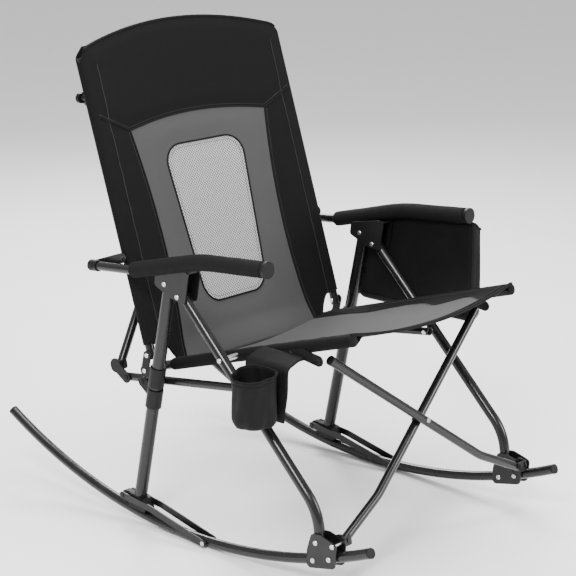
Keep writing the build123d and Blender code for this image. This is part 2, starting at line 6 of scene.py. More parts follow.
import bmesh
import bpy
import numpy as np
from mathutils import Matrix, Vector


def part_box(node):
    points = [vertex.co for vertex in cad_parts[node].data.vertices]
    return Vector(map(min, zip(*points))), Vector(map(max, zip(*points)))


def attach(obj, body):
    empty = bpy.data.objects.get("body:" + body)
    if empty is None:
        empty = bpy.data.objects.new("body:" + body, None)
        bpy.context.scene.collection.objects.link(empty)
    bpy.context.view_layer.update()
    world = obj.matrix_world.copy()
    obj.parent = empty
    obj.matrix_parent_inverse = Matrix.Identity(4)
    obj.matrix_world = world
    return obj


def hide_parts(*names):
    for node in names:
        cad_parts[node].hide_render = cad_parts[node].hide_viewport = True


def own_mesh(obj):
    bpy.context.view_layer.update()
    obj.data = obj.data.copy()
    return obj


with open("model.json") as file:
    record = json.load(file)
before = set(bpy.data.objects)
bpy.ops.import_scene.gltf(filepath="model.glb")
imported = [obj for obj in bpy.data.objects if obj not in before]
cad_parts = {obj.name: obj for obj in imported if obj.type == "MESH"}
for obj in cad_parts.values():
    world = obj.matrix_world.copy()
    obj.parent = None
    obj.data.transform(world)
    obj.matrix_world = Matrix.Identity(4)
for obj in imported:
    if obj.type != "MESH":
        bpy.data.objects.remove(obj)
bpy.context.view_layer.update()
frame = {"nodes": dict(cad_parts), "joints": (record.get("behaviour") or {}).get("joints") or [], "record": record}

# ---------------------------------------------------------------- driving values
CAMERA_PLACE = (-2.8429, -2.5984, 1.5379)
CAMERA_YAW = -47.5
CAMERA_PITCH = -15.111
CAMERA_LENS = 113.55
LIGHTS = [               # name, place, size and power
    ("key", (-2.6, -1.4, 2.9), 1.2, 150),
    ("fill", (1.6, -3.0, 1.8), 1.6, 80),
    ("rim", (1.8, 2.4, 2.6), 1.4, 120),
    ("top", (0.0, 0.0, 4.2), 3.0, 210),
]
LIGHTS_AIM = Vector((0, 0, 0.45))
FLOOR_REACH = 14.0

GRID = 0.006             # spacing of the cloth grids
SLEEVE_CLOTH = 0.0024    # cloth thickness where it wraps a tube
SLEEVE_SLACK = 0.0003    # between a tube and the inside of its sleeve
SLEEVE_SEAM = 0.027      # from a tube's axis to the seam that closes its sleeve
SLEEVE_TURN = -112       # degrees round the tube at which the sleeve's cloth leaves it
SEAM_ALLOWANCE = 0.006   # from a seam to the stitches beside it
TUBE_R = 0.010           # seat rails and back uprights
PIPING = 0.0016          # piping and welt radius
BINDING = 0.0034         # edge binding radius
STITCH = 0.0045          # length of a stitch
STITCH_PITCH = 0.0068

SEAT_LENGTH = 0.528
SEAT_SAG = 0.026
SEAT_TUCK = 0.024        # the seat's middle reaches this far behind its rear edge
SEAT_PANEL = 0.212       # half width of the light middle panel
SEAT_LOBES = [(0.014, 0.170, 0.060), (0.034, 0.385, 0.048)]     # depth, place and spread of each
SEAT_FLARE = (0.050, 0.440, 0.090)      # the dark sides widen by this, from here, over this length
SEAT_PUFF = 0.0042       # padding between the seat's seams
SEAT_FRONT_BAND = 0.012  # from the front seam to the front edge
SEAT_REAR_INSET = 0.0057 # from the CAD seat's rear edge forward to the cloth's

BACK_START = 0.022       # from the upright's pivot to the back's lower edge
BACK_CROWN = 0.689       # height of the top edge up the back, at its middle
BACK_ARCH = 0.050
BACK_CORNER = 0.030
BACK_SAG = 0.022
BACK_TUCK = 0.066        # the back's middle reaches this far below its lower edge
BACK_PANEL = 0.188       # half width of the light panel at its waist
BACK_WAIST = 0.175       # height of the waist
FLARE_ABOVE = (0.024, 0.281)            # the panel widens by this over this height
FLARE_BELOW = (0.019, 0.215)
PANEL_PUFF = 0.0040
HEAD_PUFF = 0.0075
HEAD_SEAM = 0.478
HEAD_SEAM_DROP = 0.022   # how far the head seam falls towards the panel's corners
HEAD_SEAM_TURN = 0.212   # past this distance from the middle it climbs to the edge
HEAD_SEAM_CLIMB = 0.44
WINDOW_FOOT = 0.050
WINDOW_TOP = 0.410
WINDOW_WIDTH = 0.110     # half width at mid height
WINDOW_TAPER = 0.075     # growth of the half width per metre of height
WINDOW_CORNER = 0.048
WINDOW_BORDER = -0.009   # from the window's edge to the stitched line inside it
MESH_PITCH = 0.0054

ARM_LINE = [(0.274, 0.564), (0.150, 0.575), (-0.050, 0.627), (-0.234, 0.642)]   # armrest axis, (y, z)
ARM_BENDS = [0.180, 0.420]
FOAM_R = 0.0172
FOAM_BORE = 0.0102

CUP_R = 0.043
CUP_Y = -0.238
CUP_RIM = 0.436
CUP_FOOT = 0.330
CUP_ROUNDING = 0.22      # share of the pouch's height that its rounded bottom takes
CUP_CLOTH = 0.0022
CUP_PANEL_TOP = (-0.2765, 0.4630)       # (x, z) at which the panel leaves the seat rail
CUP_PANEL_BEND = 0.4480  # height at which it turns down
CUP_PANEL_FOOT = 0.336
CUP_PANEL_EDGES = (-0.289, -0.175)      # y of its front and rear edges
CUP_PANEL_CLOTH = 0.0026

BAG_REAR_RIM = 0.553
BAG_WALL = 0.0032
BAG_CORNER = 0.014
BAG_ROUNDING = 0.10      # share of the bag's height that its rounded bottom takes
BAG_TURN = 0.22          # share of each quarter of a ring that is a corner
BAG_SIDES = 40           # points in each quarter of a ring
BAG_TAPER = 0.032        # how much further back the bag's outer wall ends at the front


# ---------------------------------------------------------------- reading the frame
def vertices(node):
    mesh = frame["nodes"][node].data
    flat = np.empty(len(mesh.vertices) * 3)
    mesh.vertices.foreach_get("co", flat)
    return flat.reshape(-1, 3)


def tube_line(node, upwards):
    """Axis of a straight tube that lies in a plane of constant x: its x, (y, z) middle and direction."""
    points = vertices(node)
    flat = points[:, 1:]
    direction = np.linalg.svd(flat - flat.mean(0), full_matrices=False)[2][0]
    direction = direction * np.sign(direction @ np.array(upwards))
    across = np.array([-direction[1], direction[0]])
    spread = flat @ across
    middle = (spread.min() + spread.max()) / 2 * across
    return (points[:, 0].min() + points[:, 0].max()) / 2, middle, direction


def anchor(joint):
    found = [j for j in frame["joints"] if j["name"] == joint][0]
    return np.array(found["pos_m"], float)


def smooth(value):
    t = np.clip(value, 0.0, 1.0)
    return t * t * (3 - 2 * t)


# ---------------------------------------------------------------- meshes
def mesh_piece(name, points, faces):
    mesh = bpy.data.meshes.new(name)
    mesh.from_pydata([tuple(float(c) for c in p) for p in points], [], faces)
    shaped = bmesh.new()
    shaped.from_mesh(mesh)
    bmesh.ops.recalc_face_normals(shaped, faces=shaped.faces)
    shaped.to_mesh(mesh)
    shaped.free()
    mesh.polygons.foreach_set("use_smooth", [True] * len(mesh.polygons))
    piece = bpy.data.objects.new(name, mesh)
    bpy.context.scene.collection.objects.link(piece)
    return piece


def grid_faces(rows, columns, start=0, closed=False):
    faces = []
    for i in range(rows - 1):
        for j in range(columns if closed else columns - 1):
            k = (j + 1) % columns
            a, b = start + i * columns + j, start + i * columns + k
            faces.append((a, b, b + columns, a + columns))
    return faces


def grid_normals(grid):
    normal = np.cross(np.gradient(grid, axis=1), np.gradient(grid, axis=0))
    return normal / np.maximum(np.linalg.norm(normal, axis=2, keepdims=True), 1e-12)


def skin(name, grid, thick):
    """Closed skin of cloth, half of its thickness on each side of a grid of points."""
    rows, columns = grid.shape[:2]
    offset = grid_normals(grid) * thick[..., None] / 2
    points = np.concatenate([(grid + offset).reshape(-1, 3), (grid - offset).reshape(-1, 3)])
    count = rows * columns
    faces = grid_faces(rows, columns) + grid_faces(rows, columns, count)
    rim = list(range(columns)) + [i * columns + columns - 1 for i in range(1, rows)]
    rim += [count - 1 - j for j in range(1, columns)] + [i * columns for i in range(rows - 2, 0, -1)]
    faces += [(p, q, q + count, p + count) for p, q in zip(rim, rim[1:] + rim[:1])]
    return mesh_piece(name, points, faces)


def set_vector(piece, name, values):
    attribute = piece.data.attributes.new(name, "FLOAT_VECTOR", "POINT")
    attribute.data.foreach_set("vector", np.asarray(values, np.float32).ravel())


def frames_along(path, closed):
    """Unit tangents, and two normals that turn as little as they can."""
    path = np.asarray(path, float)
    ahead = np.roll(path, -1, 0) - np.roll(path, 1, 0)
    if not closed:
        ahead[0], ahead[-1] = path[1] - path[0], path[-1] - path[-2]
    tangent = ahead / np.linalg.norm(ahead, axis=1, keepdims=True)
    start = np.cross(tangent[0], (0.12, 0.31, 0.94))
    side = [start / np.linalg.norm(start)]
    for t in tangent[1:]:
        turned = side[-1] - t * (side[-1] @ t)
        side.append(turned / np.linalg.norm(turned))
    side = np.array(side)
    return tangent, side, np.cross(tangent, side)


def tube_points(path, radius, sides=10, closed=False):
    """Rings of points round a path, as (rings, sides, 3)."""
    path = np.asarray(path, float)
    _, side, up = frames_along(path, closed)
    radius = np.broadcast_to(np.asarray(radius, float), (len(path),))
    turn = np.linspace(0, 2 * math.pi, sides, endpoint=False)
    ring = side[:, None] * np.cos(turn)[None, :, None] + up[:, None] * np.sin(turn)[None, :, None]
    return path[:, None] + ring * radius[:, None, None]


def tube_mesh(path, radius, sides=10, closed=False):
    rings = tube_points(path, radius, sides, closed)
    count = len(rings)
    faces = grid_faces(count, sides, closed=True)
    if closed:
        faces += [((count - 1) * sides + j, (count - 1) * sides + (j + 1) % sides, (j + 1) % sides, j)
                  for j in range(sides)]
    else:
        faces += [tuple(range(sides)), tuple((count - 1) * sides + j for j in reversed(range(sides)))]
    return rings.reshape(-1, 3), faces


def joined(name, parts):
    """One piece from several (points, faces) lists."""
    points, faces = [], []
    for some, rings in parts:
        faces += [tuple(k + len(points) for k in face) for face in rings]
        points += list(some)
    return mesh_piece(name, points, faces)


def vessel(name, outer, inner, outer_base, inner_base):
    """Open cloth vessel from rings of its outside and inside, closed below at two base points."""
    rows, sides = outer.shape[:2]
    total = rows * sides
    top = total - sides
    points = [*outer.reshape(-1, 3), *inner.reshape(-1, 3), outer_base, inner_base]
    faces = grid_faces(rows, sides, closed=True) + grid_faces(rows, sides, total, True)
    around = [(j, (j + 1) % sides) for j in range(sides)]
    faces += [(top + j, top + k, total + top + k, total + top + j) for j, k in around]
    faces += [(j, k, 2 * total) for j, k in around]
    faces += [(total + j, total + k, 2 * total + 1) for j, k in around]
    return mesh_piece(name, points, faces), np.array(points)


def resample(path, step, closed=False):
    path = np.asarray(path, float)
    if closed:
        path = np.vstack([path, path[:1]])
    run = np.concatenate([[0], np.cumsum(np.linalg.norm(np.diff(path, axis=0), axis=1))])
    count = max(3, int(round(run[-1] / step)) + 1)
    at = np.linspace(0, run[-1], count)
    if closed:
        at = at[:-1]
    return np.stack([np.interp(at, run, path[:, k]) for k in range(path.shape[1])], 1)


def rounded(points, radii, steps=10):
    """Points of a path of straight runs whose inner corners are arcs."""
    points = [np.array(p, float) for p in points]
    path = [points[0]]
    for a, b, c, radius in zip(points, points[1:], points[2:], radii):
        back, on = (a - b) / np.linalg.norm(a - b), (c - b) / np.linalg.norm(c - b)
        half = math.acos(np.clip(back @ on, -1, 1)) / 2
        reach = radius / math.tan(half)
        middle = (back + on) / np.linalg.norm(back + on) * radius / math.sin(half) + b
        first, last = b + back * reach - middle, b + on * reach - middle
        for share in np.linspace(0, 1, steps):
            way = first * (1 - share) + last * share
            path.append(middle + way / np.linalg.norm(way) * radius)
    return np.array(path + [points[-1]])


def stitches(path, lift, step=STITCH_PITCH, length=STITCH, radius=0.00055, closed=False):
    """Raised threads along a path, each a little spindle. lift gives each point's outward normal."""
    spots = resample(np.hstack([path, lift]), step, closed)
    ahead = np.roll(spots[:, :3], -1, 0) - spots[:, :3]
    parts = []
    for spot, way in list(zip(spots, ahead))[:None if closed else -1]:
        way = way / np.linalg.norm(way)
        out = spot[3:] / np.linalg.norm(spot[3:])
        reach = np.array([-0.5, -0.3, 0.0, 0.3, 0.5]) * length
        rise = np.array([-0.4, 0.5, 0.9, 0.5, -0.4]) * radius
        thread = spot[:3] + reach[:, None] * way + rise[:, None] * out
        parts.append(tube_mesh(thread, [radius * 0.4, radius, radius, radius, radius * 0.4], 6))
    return parts


# ---------------------------------------------------------------- materials
def add(tree, kind, settings=None, inputs=None):
    node = tree.nodes.new("ShaderNode" + kind)
    for key, value in (settings or {}).items():
        setattr(node, key, value)
    for key, value in (inputs or {}).items():
        if isinstance(value, bpy.types.NodeSocket):
            tree.links.new(value, node.inputs[key])
        else:
            node.inputs[key].default_value = value
    return node


def maths(tree, operation, a, b=0.0):
    return add(tree, "Math", {"operation": operation}, {0: a, 1: b}).outputs[0]


def mix(tree, factor, a, b):
    return add(tree, "Mix", {"data_type": "RGBA"}, {0: factor, 6: a, 7: b}).outputs[2]


def ramp(tree, value, low, high, to_low=0.0, to_high=1.0):
    return add(tree, "MapRange", {"clamp": True},
               {0: value, 1: low, 2: high, 3: to_low, 4: to_high}).outputs[0]


def noise(tree, where, scale, detail=4.0, rough=0.55):
    return add(tree, "TexNoise", None, {"Vector": where, "Scale": scale, "Detail": detail,
                                        "Roughness": rough}).outputs[0]


def material(name, **sockets):
    made = bpy.data.materials.new(name)
    made.use_nodes = True
    shader = made.node_tree.nodes["Principled BSDF"]
    for key, value in sockets.items():
        shader.inputs[key.replace("_", " ")].default_value = value
    return made, made.node_tree, shader


def grey(level):
    return (level, level, level, 1.0)


def bump(tree, shader, height, distance):
    made = add(tree, "Bump", None, {"Height": height, "Distance": distance, "Strength": 1.0})
    tree.links.new(made.outputs[0], shader.inputs["Normal"])


def place(tree):
    """Coordinates in metres that stay with the object."""
    return add(tree, "TexCoord").outputs["Object"]


def powder_coat(name="powder_coat", dark=0.0035, light=0.0085, shine=(0.18, 0.32)):
    made, tree, shader = material(name, Specular_IOR_Level=0.36, Coat_Weight=0.10, Coat_Roughness=0.10)
    where = place(tree)
    cloudy = noise(tree, where, 38.0, 5.0)
    peel = noise(tree, where, 820.0, 3.0)
    scuffs = ramp(tree, noise(tree, where, 130.0, 8.0, 0.7), 0.66, 0.74)
    coat = mix(tree, cloudy, grey(dark), grey(light))
    scuffed = mix(tree, maths(tree, "MULTIPLY", scuffs, 0.25), coat, grey(0.02))
    tree.links.new(scuffed, shader.inputs["Base Color"])
    tree.links.new(ramp(tree, cloudy, 0.3, 0.7, *shine), shader.inputs["Roughness"])
    bump(tree, shader, maths(tree, "ADD", peel, maths(tree, "MULTIPLY", scuffs, -0.4)), 0.00006)
    return made


def steel():
    made, tree, shader = material("zinc_steel", Metallic=1.0)
    where = place(tree)
    brushed = noise(tree, where, 900.0, 6.0, 0.7)
    tree.links.new(mix(tree, brushed, grey(0.42), grey(0.72)), shader.inputs["Base Color"])
    tree.links.new(ramp(tree, brushed, 0.3, 0.7, 0.18, 0.36), shader.inputs["Roughness"])
    bump(tree, shader, brushed, 0.00003)
    return made


def moulded_plastic():
    made, tree, shader = material("moulded_plastic", Specular_IOR_Level=0.22)
    where = place(tree)
    grain = add(tree, "TexVoronoi", {"feature": "SMOOTH_F1"}, {"Vector": where, "Scale": 900.0}).outputs[0]
    flow = noise(tree, where, 60.0, 4.0)
    tree.links.new(mix(tree, flow, grey(0.0025), grey(0.006)), shader.inputs["Base Color"])
    tree.links.new(ramp(tree, flow, 0.3, 0.7, 0.42, 0.58), shader.inputs["Roughness"])
    bump(tree, shader, grain, 0.00012)
    return made


def foam():
    made, tree, shader = material("arm_foam", Sheen_Weight=0.01, Sheen_Roughness=0.5, Specular_IOR_Level=0.08)
    where = place(tree)
    cells = add(tree, "TexVoronoi", None, {"Vector": where, "Scale": 620.0}).outputs[0]
    rubbed = noise(tree, where, 45.0, 6.0)
    base = mix(tree, rubbed, grey(0.0032), grey(0.0070))
    pore = ramp(tree, cells, 0.05, 0.45)
    tree.links.new(mix(tree, pore, base, grey(0.0085)), shader.inputs["Base Color"])
    tree.links.new(ramp(tree, rubbed, 0.3, 0.7, 0.78, 0.95), shader.inputs["Roughness"])
    bump(tree, shader, cells, 0.0004)
    return made


def weave(tree, where, pitch):
    """Height of a plain weave: warp and weft threads that pass over one another."""
    per_metre = 1.0 / pitch
    split = add(tree, "SeparateXYZ", None, {0: where})
    across = maths(tree, "MULTIPLY", split.outputs[0], per_metre * math.pi)
    ahead = maths(tree, "MULTIPLY", split.outputs[1], per_metre * math.pi)
    warp = maths(tree, "ABSOLUTE", maths(tree, "SINE", across))
    weft = maths(tree, "ABSOLUTE", maths(tree, "SINE", ahead))
    half = maths(tree, "MULTIPLY", across, 0.5)
    over = maths(tree, "MULTIPLY", maths(tree, "COSINE", half),
                 maths(tree, "COSINE", maths(tree, "MULTIPLY", ahead, 0.5)))
    pick = ramp(tree, over, -0.15, 0.15)
    return maths(tree, "ADD", maths(tree, "MULTIPLY", warp, pick),
                 maths(tree, "MULTIPLY", weft, maths(tree, "SUBTRACT", 1.0, pick)))


def nylon():
    """Coated oxford nylon: a fine weave with soft creases."""
    made, tree, shader = material("black_nylon", Sheen_Weight=0.008, Sheen_Roughness=0.35,
                                  Specular_IOR_Level=0.12)
    where = add(tree, "Attribute", {"attribute_name": "cloth"}).outputs["Vector"]
    threads = weave(tree, where, 0.0011)
    creased = noise(tree, where, 26.0, 6.0, 0.6)
    base = mix(tree, creased, grey(0.0022), grey(0.0055))
    tree.links.new(mix(tree, maths(tree, "MULTIPLY", threads, 0.35), base, grey(0.0110)),
                   shader.inputs["Base Color"])
    tree.links.new(ramp(tree, creased, 0.3, 0.7, 0.50, 0.68), shader.inputs["Roughness"])
    height = maths(tree, "ADD", maths(tree, "MULTIPLY", threads, 0.12), creased)
    bump(tree, shader, height, 0.0011)
    return made


def cord_cloth(name, level):
    """Binding tape and piping: ribbed across its length."""
    made, tree, shader = material(name, Sheen_Weight=0.02, Specular_IOR_Level=0.12)
    where = place(tree)
    ribs = noise(tree, where, 700.0, 4.0)
    tree.links.new(mix(tree, ribs, grey(level * 0.6), grey(level * 1.5)), shader.inputs["Base Color"])
    tree.links.new(ramp(tree, ribs, 0.3, 0.7, 0.66, 0.84), shader.inputs["Roughness"])
    bump(tree, shader, ribs, 0.0003)
    return made


def panel_cloth(name, middle, window=None):
    """Polyester panels. The seam attribute holds distances past the panel seams, in metres:
    x past the side seam, y past the head or front seam, z outside the mesh window."""
    made, tree, shader = material(name, Sheen_Weight=0.01, Sheen_Roughness=0.4, Specular_IOR_Level=0.09)
    where = add(tree, "Attribute", {"attribute_name": "cloth"}).outputs["Vector"]
    seam = add(tree, "Attribute", {"attribute_name": "seam"}).outputs["Vector"]
    past = add(tree, "SeparateXYZ", None, {0: seam})
    threads = weave(tree, where, 0.0013)
    mottle = noise(tree, where, 420.0, 5.0, 0.75)
    cloudy = noise(tree, where, 9.0, 4.0)
    shade = mix(tree, mottle, grey(middle * 0.66), grey(middle * 1.36))
    light_panel = mix(tree, maths(tree, "MULTIPLY", cloudy, 0.30), shade, grey(middle * 0.6))
    dark_panel = mix(tree, mottle, grey(0.0030), grey(0.0068))
    dark = ramp(tree, maths(tree, "MAXIMUM", past.outputs[0], past.outputs[1]), -0.0004, 0.0004)
    colour = mix(tree, dark, light_panel, dark_panel)
    height = maths(tree, "ADD", threads, maths(tree, "MULTIPLY", mottle, 0.5))
    if window:
        turned = add(tree, "Mapping", {"vector_type": "POINT"},
                     {0: where, 2: (0.0, 0.0, math.radians(45))}).outputs[0]
        split = add(tree, "SeparateXYZ", None, {0: turned})
        turns = [maths(tree, "MULTIPLY", split.outputs[k], math.pi / MESH_PITCH) for k in (0, 1)]
        wires = [maths(tree, "ABSOLUTE", maths(tree, "SINE", turn)) for turn in turns]
        net = maths(tree, "MINIMUM", *wires)
        # the holes are not cut: their dark grey is painted shade seen through the mesh, and the strands keep the
        # mesh's own light grey
        hole = ramp(tree, net, 0.30, 0.52)
        strands_and_painted_hole_shade = mix(tree, hole, grey(window * 1.35), grey(window * 0.22))
        inside = ramp(tree, past.outputs[2], -0.0004, 0.0004, 1.0, 0.0)
        mottled_strands_and_painted_hole_shade = mix(tree, maths(tree, "MULTIPLY", mottle, 0.25), strands_and_painted_hole_shade, grey(window * 0.5))
        colour = mix(tree, inside, colour, mottled_strands_and_painted_hole_shade)
        sunk = maths(tree, "MULTIPLY", maths(tree, "MULTIPLY", hole, inside), -2.5)
        height = maths(tree, "ADD", height, sunk)
    tree.links.new(colour, shader.inputs["Base Color"])
    tree.links.new(ramp(tree, mottle, 0.3, 0.7, 0.70, 0.88), shader.inputs["Roughness"])
    bump(tree, shader, height, 0.00022)
    return made


MATERIALS = {
    "tube": powder_coat(),
    "plate": powder_coat("satin_plate", 0.0025, 0.0065, (0.38, 0.55)),
    "rivet": steel(),
    "plastic": moulded_plastic(),
    "foam": foam(),
    "nylon": nylon(),
    "piping": cord_cloth("piping_cloth", 0.0035),
    "binding": cord_cloth("binding_cloth", 0.0032),
    "thread": cord_cloth("grey_thread", 0.035),
    "seat": panel_cloth("seat_cloth", 0.072),
    "back": panel_cloth("back_cloth", 0.060, 0.42),
}

CAD_LOOKS = {
    "frame_tube": "tube",
    "frame_plate": "plate",
    "rivet": "rivet",
    "black_plastic": "plastic",
}


def dress_cad():
    """Every CAD node that stays in sight takes the detailed material of its record slot."""
    for part in frame["record"]["subparts"]:
        look = CAD_LOOKS.get(part["material_slot"])
        for holder in frame["nodes"][part["node"]].material_slots:
            if look:
                holder.material = MATERIALS[look]


def dress(piece, look, body):
    piece.data.materials.append(MATERIALS[look])
    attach(piece, body)
    return piece


# ---------------------------------------------------------------- slings
class Sling:
    """Cloth stretched between two parallel tubes, wrapped round each and sewn back to itself."""

    def __init__(self, start, along, facing, tube_x, sag):
        self.start, self.along, self.facing = (np.array(v, float) for v in (start, along, facing))
        self.tube_x, self.sag = tube_x, sag
        self.wrap = TUBE_R + SLEEVE_SLACK + SLEEVE_CLOTH / 2
        self.lean = math.atan(2 * sag / tube_x)
        self.edge = tube_x - self.wrap * math.sin(self.lean)

    def lift(self, x, s):
        """Height of the cloth over the tubes' axes, along the facing direction."""
        top = self.wrap * math.cos(self.lean)
        return top - self.sag_at(s) * (1 - (x / self.edge) ** 2) + self.ripple(x, s)

    def sag_at(self, s):
        return self.sag + 0 * s

    def ripple(self, x, s):
        """Short pull creases that run in from the sleeves."""
        near = np.exp(-np.clip(self.edge - np.abs(x), 0, None) / 0.045)
        side = np.where(x > 0, 1.3, 0.0)
        wave = np.sin(s * 92 + side) + 0.6 * np.sin(s * 151 + 2.1 + side) + 0.4 * np.sin(s * 233 + 4.0)
        return 0.00055 * near * wave * smooth((self.edge - np.abs(x)) / 0.012)

    def lower(self, x):
        return 0 * x

    def upper(self, x):
        return 0 * x

    def thick(self, x, s):
        return SLEEVE_CLOTH + 0 * x

    def world(self, x, s, n):
        flat = self.start + s[..., None] * self.along + n[..., None] * self.facing
        return np.concatenate([x[..., None], flat], axis=-1)

    def front(self, x, s, raise_by=0.0):
        """Points on the cloth's front face, and its outward normals."""
        x, s = np.asarray(x, float), np.asarray(s, float)
        tiny = 0.0005
        here = self.world(x, s, self.lift(x, s))
        dx = self.world(x + tiny, s, self.lift(x + tiny, s)) - here
        ds = self.world(x, s + tiny, self.lift(x, s + tiny)) - here
        normal = np.cross(dx, ds)
        normal /= np.linalg.norm(normal, axis=-1, keepdims=True)
        facing = np.concatenate([[0.0], self.facing])
        normal *= np.sign(normal @ facing)[..., None]
        return here + normal * (self.thick(x, s) / 2 + raise_by)[..., None], normal

    def span(self, x):
        """Distances up the cloth, from its lower edge to its upper one, at each row of the columns x."""
        share = np.linspace(0, 1, len(x))[:, None]
        return self.lower(x) + share * (self.upper(x) - self.lower(x))

    def half(self, rows):
        """x, height and distance up of each column, from the middle out, round the tube and back to
        the sleeve's seam."""
        columns = []
        for x in np.linspace(0, self.edge, int(self.edge / GRID) + 1):
            column = np.full((rows, 1), x)
            s = self.span(column)
            columns.append((column, self.lift(column, s), s))
        for angle in np.radians(np.linspace(90 + math.degrees(self.lean), SLEEVE_TURN, 17))[1:]:
            s = self.span(np.full((rows, 1), self.tube_x + self.wrap * math.cos(angle)))
            radius = self.radius(s)
            columns.append((self.tube_x + radius * math.cos(angle), radius * math.sin(angle), s))
        last_x, last_n, _ = columns[-1]
        seam_x = np.full((rows, 1), self.tube_x - SLEEVE_SEAM)
        s = self.span(seam_x)
        under = self.lift(seam_x, s) - self.thick(seam_x, s) / 2 - SLEEVE_CLOTH / 2 - 0.0004
        for step in (0.34, 0.67, 1.0):
            columns.append((last_x + (seam_x - last_x) * step, last_n + (under - last_n) * step, s))
        return zip(*columns)

    def build(self, name):
        """The cloth as a piece, its flat size, and its area."""
        middle = np.zeros(1)
        rows = int((self.upper(middle)[0] - self.lower(middle)[0]) / GRID) + 1
        x, n, s = (np.hstack(part) for part in self.half(rows))
        x, n, s = (np.hstack([mirror * part[:, :0:-1], part])
                   for mirror, part in ((-1, x), (1, n), (1, s)))
        grid = self.world(x, s, n)
        run = np.cumsum(np.linalg.norm(np.diff(grid, axis=1), axis=2), axis=1)
        run = np.hstack([np.zeros((rows, 1)), run])
        arc = run - run[:, [run.shape[1] // 2]]
        flat_x = np.where(np.abs(arc) <= self.edge, x, arc)
        on_face = np.abs(arc) <= self.edge * 1.02
        thick = np.where(on_face, self.thick(np.clip(x, -self.edge, self.edge), s), SLEEVE_CLOTH)
        piece = skin(name, grid, thick)
        twice = np.vstack([np.stack([flat_x, s, 0 * s], -1).reshape(-1, 3)] * 2)
        set_vector(piece, "cloth", twice)
        set_vector(piece, "seam", np.stack(self.seams(twice[:, 0], twice[:, 1]), -1))
        across, ahead = np.median(run[:, -1]), np.ptp(s)
        cells = np.linalg.norm(np.cross(np.diff(grid[:-1], axis=1), np.diff(grid[:, :-1], axis=0)), axis=2)
        return piece, (round(float(across), 3), round(float(ahead), 3)), round(float(cells.sum()), 4)

    def radius(self, s):
        return self.wrap + 0 * s

    def seams(self, x, s):
        return 0 * x - 1, 0 * x - 1, 0 * x + 1

    def welt(self, x, s, radius=PIPING, closed=False, sink=0.35):
        """Piping that lies on the cloth's front along a line given in (x, s)."""
        line = resample(np.stack([x, s], 1), 0.004, closed)
        points, _ = self.front(line[:, 0], line[:, 1], radius * (1 - 2 * sink))
        return tube_mesh(points, radius, 8, closed)

    def sleeve_end(self, side, s, reach):
        """Sewn-shut end of a sleeve, a shallow dome over the tube's end."""
        centre = self.world(np.array(side * self.tube_x), np.array(s), np.array(0.0))
        along = np.concatenate([[0.0], self.along])
        turn = np.linspace(-0.6, 0.5 * math.pi * 0.94, 9)
        path = [centre + along * reach * math.sin(t) for t in turn]
        radius = [(self.wrap + SLEEVE_CLOTH * 0.55) * math.cos(max(t, 0.0)) for t in turn]
        return tube_mesh(path, radius, 24)

    def sewn(self, x, s, closed=False):
        line = resample(np.stack([x, s], 1), 0.003, closed)
        points, normals = self.front(line[:, 0], line[:, 1], 0.0001)
        return stitches(points, normals, closed=closed)


class Seat(Sling):
    def lower(self, x):
        return -SEAT_TUCK * (1 - smooth((np.abs(x) - 0.222) / 0.022))

    def upper(self, x):
        corner = np.clip(np.abs(x) - (self.tube_x - 0.014), 0, None)
        return SEAT_LENGTH - corner ** 2 * 12

    def panel(self, s):
        """Half width of the light middle panel: two dark lobes reach in from each side."""
        lobes = sum(depth * np.exp(-((s - place) / spread) ** 2) for depth, place, spread in SEAT_LOBES)
        growth, start, run = SEAT_FLARE
        return SEAT_PANEL - lobes - growth * smooth((s - start) / run)

    def front_seam(self, x):
        return SEAT_LENGTH - SEAT_FRONT_BAND + 0 * x

    def seams(self, x, s):
        return np.abs(x) - self.panel(s), s - self.front_seam(x), 0 * x + 1

    def thick(self, x, s):
        side, ahead, _ = self.seams(x, s)
        away = np.minimum(np.abs(side), np.abs(ahead))
        rim = smooth(np.minimum(self.edge - np.abs(x), SEAT_LENGTH - s) / 0.02)
        return SLEEVE_CLOTH + (0.0008 + SEAT_PUFF * smooth(away / 0.03)) * rim


